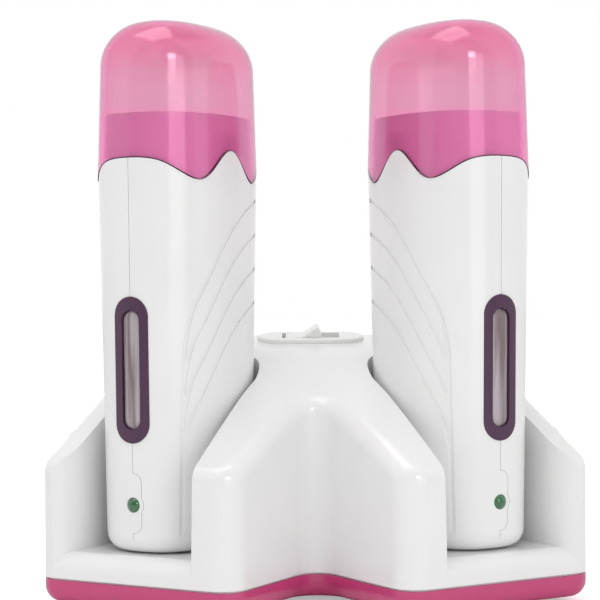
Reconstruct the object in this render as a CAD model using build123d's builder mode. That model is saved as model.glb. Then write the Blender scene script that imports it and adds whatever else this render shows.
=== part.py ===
from build123d import *
from math import cos, exp, hypot, log, pi, radians, sin, tan
import os

os.makedirs("parts", exist_ok=True)

# Driving dimensions, in millimetres and degrees.
# The object rests on Z = 0, its front faces -Y, and X = 0 is its plane of symmetry.

# Places of the two warmers on the base
dock_angle = 30.0
dock_spacing = 96.6
dock_y = -6.7

# Housing of one warmer
body_bottom = 20.3
body_rim = 172.6
body_depth_bottom = 60.2
body_depth_rim = 65.0
body_width_bottom = 43.0
body_width_rim = 48.8
body_squareness = 2.4
body_wall = 2.0
body_edge_round = 6.0
body_floor = 2.4

# Shoulder on which the wavy edge of the cap sits
wave_peak = 160.0
wave_lobe = 149.3
wave_side = 157.7
wave_centre = 3.3
wave_pitch = 15.9
neck_wall = 1.7

# Cap
cap_top = 206.0
cap_wall = 1.6
cap_draft = 1.6
cap_proud = 0.4
cap_round = 16.0
cap_gap = 0.3

# Grip grooves on the broad faces
groove_width = 1.4
groove_depth = 0.5
groove_count = 4
groove_pitch = 12.2
groove_line = 23.6
groove_foot = 27.0

# Window, indicator and seam on the narrow front face
window_centre = 83.8
window_height = 50.7
window_width = 13.6
window_proud = 0.4
window_flange = 1.7
window_flange_thick = 1.0
pane_height = 41.2
pane_width = 7.2
pane_lip = 1.3
pane_thick = 1.6
pane_sunk = 0.7
pane_step = 0.8
indicator_height = 37.2
indicator_radius = 2.5
indicator_bulge = 1.2
indicator_flange = 1.2
indicator_ring = 4.0
tongue_half_width = 3.2
tongue_top = 48.0
tongue_foot = 27.5
seam_width = 0.24
seam_depth = 0.4
fit_gap = 0.1
seat_gap = 0.3

# Heating well that takes one cartridge
well_depth = 51.8
well_width = 33.6
well_wall = 1.0
well_bottom = 50.0
well_flange = 1.2
heater_span = 30.0
heater_thick = 1.9
heater_low = 62.0
heater_high = 100.0
ledge_thick = 1.6
ledge_reach = 7.0

# Parts below the well
board_height = 16.0
board_width = 27.4
board_thick = 1.6
board_setback = 6.0
guide_wall = 1.4
guide_grip = 1.6
guide_floor = 1.2
lamp_radius = 1.5
thermostat_length = 14.0
thermostat_width = 8.0
thermostat_thick = 4.0
tab_length = 3.0
tab_width = 2.8
tab_thick = 0.6
post_radius = 3.6
post_height = 31.0
post_place = 20.0
peg_radius = 2.2
peg_height = 26.2
peg_place = 20.0
peg_reach = 3.0
screw_radius = 1.3
screw_length = 16.0
screw_seat = 7.0
screw_head_radius = 2.6
screw_head_thick = 1.8

# Electrical coupling between a warmer and the base
pin_radius = 1.2
pin_spacing = 8.6
pin_reach = 11.0
pin_clearance = 0.3
plug_length = 17.0
plug_width = 8.4
plug_rise = 3.0
plug_flange = 2.0
plug_flange_reach = 2.0
plug_chamfer = 0.6
pin_tail = 3.0
socket_wall = 1.8
socket_height = 15.0
socket_flange = 1.5
sleeve_wall = 0.6
sleeve_length = 9.0
socket_headroom = 0.6

# Base in plan, measured from the axis of a warmer
base_front = 37.7
base_inner = 44.2
base_outer = 36.2
base_rear = 58.0
valley_round = 7.0
front_round = 9.4
outer_round = 8.0
rear_round = 22.0

# Base in height
foot_height = 2.0
foot_radius = 7.0
foot_recess = 1.2
tray_top = 10.35
tray_round = 6.0
tray_floor = 2.4
tray_lip = 2.0
tray_lip_wall = 1.5
tray_pad = 2.0
vent_count = 5
vent_pitch = 6.0
vent_length = 24.0
vent_width = 2.0
foot_chamfer = 0.6
parting_width = 0.7
parting_depth = 1.2
floor_height = 20.0
floor_round = 6.0
shell_wall = 2.5
shell_edge_round = 6.5
pocket_clearance = 2.0
pocket_flare = 4.6
mouth_length = 12.0
mouth_width = 7.0
mouth_lean = 1.0

# Sloping top of the base: a plateau, a centre slope and a slope down to each dock's front
plateau_rear_height = 94.6
plateau_tilt = 9.0
centre_height = 71.5
centre_slope = 0.55
centre_place = -17.0
centre_spread = 0.2
centre_flat = 5.0
dock_height = 53.0
dock_slope = 0.6
dock_place = 34.0
top_blend = 3.0

# Bosses and screws that close the base
boss_radius = 3.4
base_screw_radius = 1.5
base_screw_head = 3.0
base_screw_head_thick = 2.0
base_screw_length = 14.0
screw_clearance = 0.2

# Switch on the plateau
switch_y = 41.5
panel_length = 41.0
panel_width = 17.0
panel_thick = 2.0
panel_seat = 0.4
slot_length = 22.0
slot_width = 10.5
rocker_gap = 0.2
rocker_tilt = 17.0
pivot_depth = 5.0
pivot_radius = 1.5
pivot_reach = 1.6
pivot_clearance = 0.08
ridge_rise = 9.4
ridge_half_width = 4.75
ridge_round = 0.8
wing_root = 3.9
wing_tip = 1.9
wing_thick = 1.8
rocker_half_length = 10.55
switch_wall = 2.2
switch_depth = 17.0
switch_floor = 4.0
blade_length = 7.0
blade_width = 4.8
blade_thick = 0.8

# Mains inlet at the back
inlet_height = 30.0
inlet_length = 20.6
inlet_width = 12.2
inlet_depth = 17.0
inlet_flange = 3.0
inlet_flange_thick = 2.0
inlet_cavity_depth = 12.0
inlet_pin_length = 9.0
inlet_pin_tail = 5.0
inlet_rim = 1.7

# Places inside the base
inner_boss = (34.0, 24.0)
outer_boss = (30.6, 20.0)
rear_boss = (38.0, 47.0)
front_foot = 22.0
rear_foot = (24.0, 41.0)
vent_place = 12.0


# Plan positions
dock_turn = radians(dock_angle)


def dock_xy(side, across, ahead):
    """Plan point of a dock: across is away from the middle of the base, ahead is to its front."""
    x = dock_spacing / 2 + across * cos(dock_turn) + ahead * sin(dock_turn)
    y = dock_y + across * sin(dock_turn) - ahead * cos(dock_turn)
    return (side * x, y)


def dock_plane(side, height=0.0):
    """Plane of a dock: its -Y axis is the way the warmer's window looks."""
    x, y = dock_xy(side, 0, 0)
    turned = (cos(dock_turn), side * sin(dock_turn), 0)
    return Plane(origin=(x, y, height), x_dir=turned, z_dir=(0, 0, 1))


# Oval section that the housing, the cap, the well and the pocket share
def signed_power(value, power):
    return abs(value) ** power * (1 if value >= 0 else -1)


def oval_points(size, start, end, steps):
    """Points of a superellipse, depth along Y and width along X, between two angles."""
    depth, width = size
    power = 2 / body_squareness
    points = []
    for step in range(steps + 1):
        angle = start + (end - start) * step / steps
        x = width / 2 * signed_power(cos(angle), power)
        y = depth / 2 * signed_power(sin(angle), power)
        points.append((x, y))
    return points


def oval_stack(sections):
    """Solid lofted through ovals, each given by its depth and width and its height."""
    with BuildPart() as solid:
        for size, height in sections:
            with BuildSketch(Plane.XY.offset(height)):
                with BuildLine():
                    Spline(*oval_points(size, 0.5 * pi, 2.5 * pi, 16)[:-1], periodic=True)
                make_face()
        loft()
    return solid.part


def oval_loft(low_size, low, high_size, high):
    """Tapered solid between two ovals."""
    return oval_stack([(low_size, low), (high_size, high)])


def body_size(height, inset=0.0):
    """Depth and width of the tapered housing at one height, less a wall all round."""
    share = (height - body_bottom) / (body_rim - body_bottom)
    depth = body_depth_bottom + share * (body_depth_rim - body_depth_bottom)
    width = body_width_bottom + share * (body_width_rim - body_width_bottom)
    return depth - 2 * inset, width - 2 * inset


def body_core(inset, low=body_bottom, high=body_rim):
    """Solid inside the housing's outer surface, less a wall all round."""
    return oval_loft(body_size(low, inset), low, body_size(high, inset), high)


def cap_size(height, inset=0.0):
    """Depth and width of the cap, which draws in towards its top."""
    depth, width = body_size(wave_lobe, inset - cap_proud)
    drawn = 2 * cap_draft * (height - wave_lobe) / (cap_top - wave_lobe)
    return depth - drawn, width - drawn


def cap_core(inset, low, high):
    """Solid inside the cap's outer surface, less a wall all round."""
    return oval_loft(cap_size(low, inset), low, cap_size(high, inset), high)


window_low = window_centre - window_height / 2
window_high = window_centre + window_height / 2
neck_inset = cap_wall + cap_gap
neck_ledge = body_rim - 6.0
shoulder_low = wave_lobe - body_wall
floor_top = body_bottom + body_floor
well_outside = (well_depth + 2 * well_wall, well_width + 2 * well_wall)
beyond = body_depth_rim


# Warmer, drawn about its own axis with its window towards -Y
def wave_region(rise):
    """Solid above the wavy shoulder, drawn from the broad side."""
    reach = body_depth_rim / 2 + 4
    top = cap_top + 10
    slope = wave_lobe + 0.4 * (wave_side - wave_lobe)
    half = 0.5 * (wave_peak + wave_lobe)
    with BuildPart() as region:
        with BuildSketch(Plane.YZ):
            with BuildLine():
                edge = Spline(
                    (-reach, wave_side + rise),
                    (-wave_centre - 1.45 * wave_pitch, slope + rise),
                    (-wave_centre - wave_pitch, wave_lobe + rise),
                    (-wave_centre - 0.5 * wave_pitch, half + rise),
                    (-wave_centre, wave_peak + rise),
                    (-wave_centre + 0.5 * wave_pitch, half + rise),
                    (-wave_centre + wave_pitch, wave_lobe + rise),
                    (-wave_centre + 1.45 * wave_pitch, slope + rise),
                    (reach, wave_side + rise),
                    tangents=[(1, 0), (1, 0)],
                )
                Polyline(edge @ 1, (reach, top), (-reach, top), edge @ 0)
            make_face()
        extrude(amount=beyond, both=True)
    return region.part


def grip_grooves():
    """Fanned arcs on both broad faces that run into one upright line beside the window."""
    bend = window_high - 20.0
    with BuildPart() as grooves:
        for number in range(groove_count):
            drop = number * groove_pitch
            with BuildSketch(Plane.YZ):
                with BuildLine() as arc:
                    Spline(
                        (20.0, 143.6 - drop),
                        (7.0, 139.2 - drop),
                        (-6.7, 127.2 - drop),
                        (-16.6, 112.4 - drop),
                        (-groove_line, bend - drop),
                        tangents=[(-1, -0.15), (-0.08, -1)],
                    )
                trace(arc.line, groove_width)
            extrude(amount=beyond, both=True)
        with BuildSketch(Plane.YZ):
            with Locations((-groove_line, (bend + groove_foot) / 2)):
                Rectangle(groove_width, bend - groove_foot)
        extrude(amount=beyond, both=True)
        add(body_core(groove_depth), mode=Mode.SUBTRACT)
    return grooves.part


def tongue_region(grow=0.0):
    """Solid through the front wall that the half with the tongue keeps."""
    wide = tongue_half_width + grow
    high = tongue_top - tongue_foot + 2 * grow
    with BuildPart() as region:
        with BuildSketch(Plane.XZ.offset(body_depth_bottom / 4)):
            with Locations((0, (tongue_top + tongue_foot) / 2)):
                RectangleRounded(2 * wide, high, 0.95 * wide)
            with Locations((0, indicator_height)):
                Circle(indicator_ring + grow)
        extrude(amount=body_depth_bottom / 2)
        split(bisect_by=Plane.YZ, keep=Keep.TOP)
    return region.part


def seam_rebate(around_tongue):
    """Fine rebate along the outer edge of the seam, which steps round the tongue."""
    with BuildPart() as rebate:
        with BuildSketch(Plane.YZ.offset(-seam_width / 2)):
            with Locations((0, (body_bottom + body_rim) / 2)):
                Rectangle(body_depth_rim + 4, body_rim - body_bottom + 4)
        extrude(amount=seam_width)
        with BuildSketch(Plane.XZ):
            with Locations((0, (tongue_top + tongue_foot) / 2)):
                Rectangle(2 * seam_width, tongue_top - tongue_foot)
        extrude(amount=beyond, mode=Mode.SUBTRACT)
        if around_tongue:
            add(tongue_region(seam_width))
        add(body_core(seam_depth, body_bottom + seam_depth), mode=Mode.SUBTRACT)
    return rebate.part


def slot_prism(width, height, centre, near, far):
    """Upright slot with round ends through the front wall, between two distances from the axis."""
    with BuildPart() as prism:
        with BuildSketch(Plane.XZ.offset(near)):
            with Locations((0, centre)):
                SlotOverall(height, width, rotation=90)
        extrude(amount=far - near)
    return prism.part


def front_bar(radius, near, far):
    """Round bar along -Y on the line of the indicator."""
    with BuildPart() as bar:
        with BuildSketch(Plane.XZ.offset(near)):
            with Locations((0, indicator_height)):
                Circle(radius)
        extrude(amount=far - near)
    return bar.part


def front_at(height, inset=0.0):
    """Distance from the axis to the narrow front face at one height."""
    return body_size(height, inset)[0] / 2


board_face = front_at(indicator_height, body_wall) - board_setback
board_low = indicator_height - board_height / 2


def socket_size(grow=0.0):
    """Length and width of the socket block, which surrounds the plug of the base."""
    wall = pin_clearance + socket_wall + grow
    return plug_length + 2 * wall, plug_width + 2 * wall


def shoulder_ring():
    """Solid above the wavy shoulder, outside the neck."""
    with BuildPart() as ring:
        add(wave_region(0))
        add(cap_core(neck_inset, shoulder_low - 1, cap_top + 1), mode=Mode.SUBTRACT)
    return ring.part


def well_ledges():
    """Ledges inside the housing: one under the foot of the well, one under its flange."""
    with BuildPart() as ledges:
        low = well_bottom - ledge_thick
        add(body_core(body_wall / 2, low, well_bottom))
        add(body_core(body_wall + ledge_reach, low - 1, well_bottom + 1), mode=Mode.SUBTRACT)
    with BuildPart() as collar:
        low = neck_ledge - ledge_thick
        hole = (well_outside[0] + 2 * fit_gap, well_outside[1] + 2 * fit_gap)
        add(cap_core(neck_inset + neck_wall / 2, low, neck_ledge))
        add(oval_loft(hole, low - 1, hole, neck_ledge + 1), mode=Mode.SUBTRACT)
    return ledges.part, collar.part


def half_posts():
    """Screw post at the back, peg post at the front, and guides that hold the indicator board."""
    with BuildPart() as posts:
        with BuildSketch(Plane.YZ.offset(-body_width_rim / 2)):
            with Locations((post_place, post_height)):
                Circle(post_radius)
            with Locations((-peg_place, peg_height)):
                Circle(peg_radius)
        extrude(amount=body_width_rim)
        board_centre = -board_face + board_thick / 2
        guide_length = 2 * (guide_wall + guide_grip)
        with BuildSketch(Plane.XY.offset(board_low - guide_floor)):
            with Locations((board_width / 2, board_centre), (-board_width / 2, board_centre)):
                Rectangle(guide_length, board_thick + 2 * guide_wall)
        extrude(amount=board_height + guide_floor)
        with BuildSketch(Plane.XY.offset(board_low)):
            with Locations((0, board_centre)):
                Rectangle(board_width + 2 * fit_gap, board_thick + 2 * fit_gap)
        extrude(amount=board_height + 1, mode=Mode.SUBTRACT)
        add(body_core(body_wall / 2), mode=Mode.INTERSECT)
    return posts.part


def housing():
    """Both halves of the housing as one hollow solid, before it is split at the seam."""
    foot_ledge, neck_collar = well_ledges()
    with BuildPart() as shell:
        add(body_core(0))
        fillet(shell.faces().sort_by(Axis.Z)[0].edges(), body_edge_round)
        add(shoulder_ring(), mode=Mode.SUBTRACT)
        add(body_core(body_wall, floor_top, shoulder_low), mode=Mode.SUBTRACT)
        add(cap_core(neck_inset + neck_wall, shoulder_low - 1, body_rim + 1), mode=Mode.SUBTRACT)
        add(foot_ledge)
        add(neck_collar)
        add(half_posts())
        # openings for the window, the indicator and the socket
        add(slot_prism(window_width, window_height, window_centre, 5, beyond), mode=Mode.SUBTRACT)
        add(front_bar(indicator_radius + fit_gap, board_face + 1, beyond), mode=Mode.SUBTRACT)
        with BuildSketch(Plane.XY.offset(body_bottom)):
            SlotOverall(*socket_size(fit_gap), rotation=90)
        extrude(amount=body_floor, mode=Mode.SUBTRACT)
        add(grip_grooves(), mode=Mode.SUBTRACT)
    return shell.part


def housing_halves():
    """The half that keeps the tongue below the window, and the plain half with the screw."""
    whole = housing()
    screw_line = Plane.YZ.offset(-screw_length + screw_seat)
    with BuildPart() as tongue:
        add(whole)
        add(tongue_region(), mode=Mode.INTERSECT)
    with BuildPart() as tongue_half:
        add(whole)
        split(bisect_by=Plane.YZ, keep=Keep.BOTTOM)
        add(tongue.part)
        with BuildSketch(Plane.YZ):
            with Locations((-peg_place, peg_height)):
                Circle(peg_radius / 2)
        extrude(amount=peg_reach)
        with BuildSketch(screw_line):
            with Locations((post_place, post_height)):
                Circle(screw_radius + fit_gap / 2)
        extrude(amount=screw_length - screw_seat, mode=Mode.SUBTRACT)
        add(seam_rebate(False), mode=Mode.SUBTRACT)
    with BuildPart() as plain_half:
        add(whole)
        split(bisect_by=Plane.YZ, keep=Keep.TOP)
        add(tongue_region(), mode=Mode.SUBTRACT)
        with BuildSketch(Plane.YZ):
            with Locations((-peg_place, peg_height)):
                Circle(peg_radius / 2 + fit_gap)
        extrude(amount=peg_reach + fit_gap, mode=Mode.SUBTRACT)
        with BuildSketch(Plane.YZ):
            with Locations((post_place, post_height)):
                Circle(screw_radius + screw_clearance)
        extrude(amount=screw_seat, mode=Mode.SUBTRACT)
        with BuildSketch(Plane.YZ.offset(screw_seat)):
            with Locations((post_place, post_height)):
                Circle(screw_head_radius + screw_clearance)
        extrude(amount=body_width_rim, mode=Mode.SUBTRACT)
        add(seam_rebate(True), mode=Mode.SUBTRACT)
    return tongue_half.part, plain_half.part


def housing_screw():
    """Pan-head screw that draws the halves together, driven from the plain half."""
    with BuildPart() as screw:
        with BuildSketch(Plane.YZ.offset(-screw_length + screw_seat)):
            with Locations((post_place, post_height)):
                Circle(screw_radius)
        extrude(amount=screw_length)
        with BuildSketch(Plane.YZ.offset(screw_seat)):
            with Locations((post_place, post_height)):
                Circle(screw_head_radius)
        extrude(amount=screw_head_thick)
        chamfer(screw.faces().sort_by(Axis.X)[-1].edges(), 0.5)
        with BuildSketch(Plane.YZ.offset(screw_seat + screw_head_thick)):
            with Locations((post_place, post_height)):
                Rectangle(1.3 * screw_head_radius, 0.25 * screw_head_radius)
                Rectangle(0.25 * screw_head_radius, 1.3 * screw_head_radius)
        extrude(amount=-0.8, mode=Mode.SUBTRACT)
    return screw.part


def domed_core(inset, low):
    """Solid inside the cap's outer surface with its rounded top, less a wall all round."""
    shoulder = cap_top - cap_round
    radius = cap_round - inset
    steps = 5
    sections = []
    for step in range(steps + 1):
        angle = 0.5 * pi * step / steps
        height = shoulder + radius * sin(angle)
        sections.append((cap_size(shoulder, inset + radius * (1 - cos(angle))), height))
    with BuildPart() as core:
        add(cap_core(inset, low, shoulder))
        add(oval_stack(sections))
    return core.part


def cap():
    """Clear push-on cap: an oval bell whose lower edge follows the wavy shoulder."""
    with BuildPart() as bell:
        add(domed_core(0, wave_lobe - 1))
        add(domed_core(cap_wall, wave_lobe - 2), mode=Mode.SUBTRACT)
        add(wave_region(cap_gap), mode=Mode.INTERSECT)
    return bell.part


def window_frame():
    """Oval bezel let into the front face, held by a flange behind the wall."""
    back = body_wall + fit_gap
    flange_width = window_width + 2 * window_flange
    flange_height = window_height + 2 * window_flange
    with BuildPart() as flange:
        add(slot_prism(flange_width, flange_height, window_centre, 5, beyond))
        add(body_core(back), mode=Mode.INTERSECT)
    with BuildPart() as seat:
        wide = pane_width + 2 * pane_lip
        add(slot_prism(wide, pane_height + 2 * pane_lip, window_centre, 5, beyond))
        add(body_core(pane_sunk + pane_step), mode=Mode.INTERSECT)
    with BuildPart() as frame:
        wide = window_width - 2 * fit_gap
        add(slot_prism(wide, window_height - 2 * fit_gap, window_centre, 5, beyond))
        add(body_core(-window_proud, body_bottom, cap_top), mode=Mode.INTERSECT)
        add(flange.part)
        add(body_core(back + window_flange_thick, 0, cap_top), mode=Mode.SUBTRACT)
        add(slot_prism(pane_width, pane_height, window_centre, 5, beyond), mode=Mode.SUBTRACT)
        add(seat.part, mode=Mode.SUBTRACT)
    return frame.part


def window_pane():
    """Clear pane with a raised middle that fills the opening of the frame from behind."""
    wide = pane_width - 2 * fit_gap
    high = pane_height - 2 * fit_gap
    with BuildPart() as step:
        add(slot_prism(wide + 2 * pane_lip, high + 2 * pane_lip, window_centre, 5, beyond))
        add(body_core(pane_sunk + pane_step + fit_gap), mode=Mode.INTERSECT)
    with BuildPart() as pane:
        add(slot_prism(wide, high, window_centre, 5, beyond))
        add(body_core(pane_sunk), mode=Mode.INTERSECT)
        add(step.part)
        add(body_core(pane_sunk + pane_step + pane_thick, 0, cap_top), mode=Mode.SUBTRACT)
    return pane.part


def indicator_lens():
    """Green domed light guide with a flange behind the wall."""
    front = front_at(indicator_height) + indicator_bulge
    inner = front_at(indicator_height, body_wall) - seat_gap
    with BuildPart() as lens:
        add(front_bar(indicator_radius, inner, front))
        fillet(lens.faces().sort_by(Axis.Y)[0].edges(), 0.8 * indicator_bulge)
        add(front_bar(indicator_radius + indicator_flange, inner - indicator_flange, inner))
    return lens.part


def indicator_lamp():
    """Small round lamp that stands on the board behind the lens."""
    inner = front_at(indicator_height, body_wall) - seat_gap - indicator_flange
    with BuildPart() as lamp:
        add(front_bar(lamp_radius, board_face, inner - seat_gap))
        fillet(lamp.faces().sort_by(Axis.Y)[0].edges(), 0.7 * lamp_radius)
        add(front_bar(lamp_radius + 0.4, board_face, board_face + 0.8))
    return lamp.part


def indicator_board():
    """Narrow circuit board that slides down between the guides of the two halves."""
    with BuildPart() as board:
        with BuildSketch(Plane.XZ.offset(board_face - board_thick)):
            with Locations((0, indicator_height)):
                Rectangle(board_width, board_height)
        extrude(amount=board_thick)
    return board.part


def heating_well():
    """Deep oval cup that takes one cartridge, with a slot behind the window and a flange on top."""
    flange_top = neck_ledge + well_flange
    low = neck_ledge
    with BuildPart() as well:
        add(oval_loft(well_outside, well_bottom, well_outside, flange_top))
        add(cap_core(neck_inset + neck_wall + fit_gap, low, flange_top))
        inside = (well_depth, well_width)
        add(oval_loft(inside, well_bottom + well_wall, inside, body_rim), mode=Mode.SUBTRACT)
        add(slot_prism(pane_width, pane_height, window_centre, 5, beyond), mode=Mode.SUBTRACT)
    return well.part


def heater_pads():
    """Two curved heating pads, one on each broad side of the well."""
    inner = (well_outside[0] + 2 * fit_gap, well_outside[1] + 2 * fit_gap)
    outer = (inner[0] + 2 * heater_thick, inner[1] + 2 * heater_thick)
    with BuildPart() as pads:
        add(oval_loft(outer, heater_low, outer, heater_high))
        add(oval_loft(inner, heater_low - 1, inner, heater_high + 1), mode=Mode.SUBTRACT)
        with BuildSketch(Plane.XY.offset(heater_low)):
            Rectangle(2 * body_width_rim, heater_span)
        extrude(amount=heater_high - heater_low, mode=Mode.INTERSECT)
    return pads.part


def thermostat():
    """Flat thermostat under the floor of the well, with its two tabs."""
    with BuildPart() as block:
        with BuildSketch(Plane.XY.offset(well_bottom - thermostat_thick)):
            RectangleRounded(thermostat_width, thermostat_length, 1.0)
        extrude(amount=thermostat_thick)
        with BuildSketch(Plane.XY.offset(well_bottom - thermostat_thick - tab_length)):
            with GridLocations(1, thermostat_length / 2, 1, 2):
                Rectangle(tab_width, tab_thick)
        extrude(amount=tab_length)
    return block.part


def socket_block():
    """Socket in the bottom of the housing, open downwards for the plug of the base."""
    cavity_top = body_bottom + plug_rise + socket_headroom
    with BuildPart() as block:
        with BuildSketch(Plane.XY.offset(body_bottom)):
            SlotOverall(*socket_size(), rotation=90)
        extrude(amount=socket_height)
        with BuildSketch(Plane.XY.offset(floor_top)):
            SlotOverall(*socket_size(socket_flange), rotation=90)
        extrude(amount=socket_flange)
        with BuildSketch(Plane.XY.offset(body_bottom)):
            SlotOverall(plug_length + 2 * pin_clearance, plug_width + 2 * pin_clearance, rotation=90)
        extrude(amount=cavity_top - body_bottom, mode=Mode.SUBTRACT)
        with BuildSketch(Plane.XY.offset(cavity_top)):
            with GridLocations(1, pin_spacing, 1, 2):
                Circle(pin_radius + pin_clearance + sleeve_wall + fit_gap / 2)
        extrude(amount=sleeve_length + fit_gap, mode=Mode.SUBTRACT)
    return block.part


def socket_sleeves():
    """Two contact sleeves that the pins of the base enter."""
    bore = pin_radius + pin_clearance
    with BuildPart() as sleeves:
        with BuildSketch(Plane.XY.offset(body_bottom + plug_rise + socket_headroom)):
            with GridLocations(1, pin_spacing, 1, 2):
                Circle(bore + sleeve_wall)
                Circle(bore, mode=Mode.SUBTRACT)
        extrude(amount=sleeve_length)
    return sleeves.part


# Base: plan, sloping top and pockets
def base_outline(inset=0.0):
    """Plan of the base: two docks turned outwards, with a valley between them."""
    to_middle = (base_inner * cos(dock_turn) - dock_spacing / 2) / sin(dock_turn)
    to_rear = (dock_y + base_outer * sin(dock_turn) - base_rear) / cos(dock_turn)
    valley = (0, dock_xy(1, -base_inner, to_middle)[1])
    nose = dock_xy(1, -base_inner, base_front)
    flank = dock_xy(1, base_outer, base_front)
    rear = dock_xy(1, base_outer, to_rear)
    right = [nose, flank, rear]
    left = [(-x, y) for x, y in reversed(right)]
    rounds = [valley_round, front_round, outer_round, rear_round, rear_round, outer_round, front_round]
    with BuildSketch() as sketch:
        with BuildLine():
            FilletPolyline(valley, *right, *left, radius=rounds, close=True)
        make_face()
        if inset > 0:
            offset(amount=-inset, kind=Kind.INTERSECTION)
    return sketch.sketch


def soft_minimum(heights):
    """Lowest of several heights, with the creases between them blended."""
    return -top_blend * log(sum(exp(-height / top_blend) for height in heights))


def top_height(x, y):
    """Height of the base's top: a plateau, a slope in the middle and a slope to each dock's front."""
    heights = [
        plateau_height(y),
        centre_height + centre_slope * (y - centre_place) + centre_spread * hypot(x, centre_flat),
    ]
    for side in (-1, 1):
        ahead = (side * x - dock_spacing / 2) * sin(dock_turn) - (y - dock_y) * cos(dock_turn)
        heights.append(dock_height + dock_slope * (dock_place - ahead))
    return soft_minimum(heights)


def plateau_height(y):
    return plateau_rear_height - tan(radians(plateau_tilt)) * (base_rear - y)


def top_surface(drop):
    """Smooth face over the whole base at the height of its top."""
    columns = 22
    rows = 15
    reach_x = dock_xy(1, base_outer, base_front)[0] + 10
    reach_y = base_rear + 15
    grid = []
    for column in range(columns + 1):
        x = reach_x * (2 * column / columns - 1)
        line = []
        for row in range(rows + 1):
            y = reach_y * (2 * row / rows - 1)
            line.append(Vector(x, y, top_height(x, y) - drop))
        grid.append(line)
    return Face.make_surface_from_array_of_points(grid)


def base_block(inset, low, drop, edge_round):
    """Solid base under its sloping top, less a wall all round."""
    with BuildPart() as block:
        with BuildSketch(Plane.XY.offset(low)):
            add(base_outline(inset))
        extrude(amount=plateau_rear_height + 10 - low)
        extrude(top_surface(drop), amount=plateau_rear_height, dir=(0, 0, 1), mode=Mode.SUBTRACT)
        if edge_round > 0:
            fillet(block.faces().sort_by(Axis.Z)[-1].edges(), edge_round)
    return block.part


def pocket(side, grow=0.0, low=floor_height):
    """Pocket that follows the warmer's taper and runs out through the front of its dock.

    Its inner wall flares a little towards the front and its outer wall turns round the dock's corner.
    """
    reach = 2 * base_front
    mouth = base_front + mouth_lean
    inner_way = (-side * pocket_flare, -base_front)
    with BuildPart() as tool:
        for height in (low - grow, plateau_rear_height + 10):
            size = body_size(height, -pocket_clearance - grow)
            half = side * size[1] / 2
            outer = half + side * mouth_width
            inner = -half - side * 2 * pocket_flare
            oval = [(side * x, y) for x, y in oval_points(size, 0, pi, 8)]
            corner = [(outer, -mouth), (half, mouth_length - base_front)]
            with BuildSketch(dock_plane(side, height)):
                with BuildLine():
                    Spline(*oval, tangents=[(0, 1), inner_way])
                    Polyline((-half, 0), (inner, -reach), (outer, -reach), corner[0])
                    Spline(*corner, tangents=[(-side, 0.5), (0, 1)])
                    Line(corner[1], (half, 0))
                make_face()
        loft()
    return tool.part


def floor_lip(side):
    """Corner that is cut from the front edge of a dock's floor to leave it round."""
    high = floor_height + 1
    low = floor_height - floor_round
    front = Plane(dock_plane(side).origin, x_dir=dock_plane(side).y_dir, z_dir=dock_plane(side).x_dir)
    with BuildPart() as lip:
        with BuildSketch(front):
            with BuildLine():
                start = (floor_round - base_front, floor_height)
                RadiusArc(start, (-base_front, low), -floor_round)
                Polyline((-base_front, low), (-base_front - 2, low), (-base_front - 2, high))
                Polyline((-base_front - 2, high), (start[0], high), start)
            make_face()
        extrude(amount=base_inner, both=True)
        add(pocket(side, 0, low - 1), mode=Mode.INTERSECT)
    return lip.part


boss_low = foot_height + tray_floor + tray_pad
switch_tilt = radians(plateau_tilt)


def switch_plane(rise=0.0):
    """Tilted plane of the seat of the switch panel, or one above it."""
    seat = plateau_height(switch_y) - panel_seat
    flat = Plane(
        origin=(0, switch_y, seat),
        x_dir=(1, 0, 0),
        z_dir=(0, -sin(switch_tilt), cos(switch_tilt)),
    )
    return flat.offset(rise)


def inlet_plane(depth=0.0):
    """Plane of the rear face at the mains inlet, or one further in."""
    return Plane(origin=(0, base_rear - depth, inlet_height), x_dir=(-1, 0, 0), z_dir=(0, 1, 0))


def boss_places():
    """Screw places: in the inner and outer pylons and behind the docks."""
    places = []
    for side in (-1, 1):
        places.append(dock_xy(side, -inner_boss[0], inner_boss[1]))
        places.append(dock_xy(side, outer_boss[0], outer_boss[1]))
        places.append((side * rear_boss[0], rear_boss[1]))
    return places


def foot_places():
    places = []
    for side in (-1, 1):
        places.append(dock_xy(side, 0, front_foot))
        places.append((side * rear_foot[0], rear_foot[1]))
    return places


def shell_cavity():
    """Hollow of the base between its outer wall and the walls of the pockets."""
    with BuildPart() as cavity:
        add(base_block(shell_wall, tray_top - 1, 1.15 * shell_wall, shell_edge_round - shell_wall))
        for side in (-1, 1):
            add(pocket(side, shell_wall), mode=Mode.SUBTRACT)
    return cavity.part


def shell_bosses():
    """Screw bosses that hang from the top of the shell down to the tray."""
    with BuildPart() as bosses:
        with BuildSketch(Plane.XY.offset(boss_low)):
            with Locations(*boss_places()):
                Circle(boss_radius)
        extrude(amount=plateau_rear_height)
        add(base_block(shell_wall / 2, boss_low - 1, shell_wall / 2, 0), mode=Mode.INTERSECT)
    return bosses.part


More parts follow.
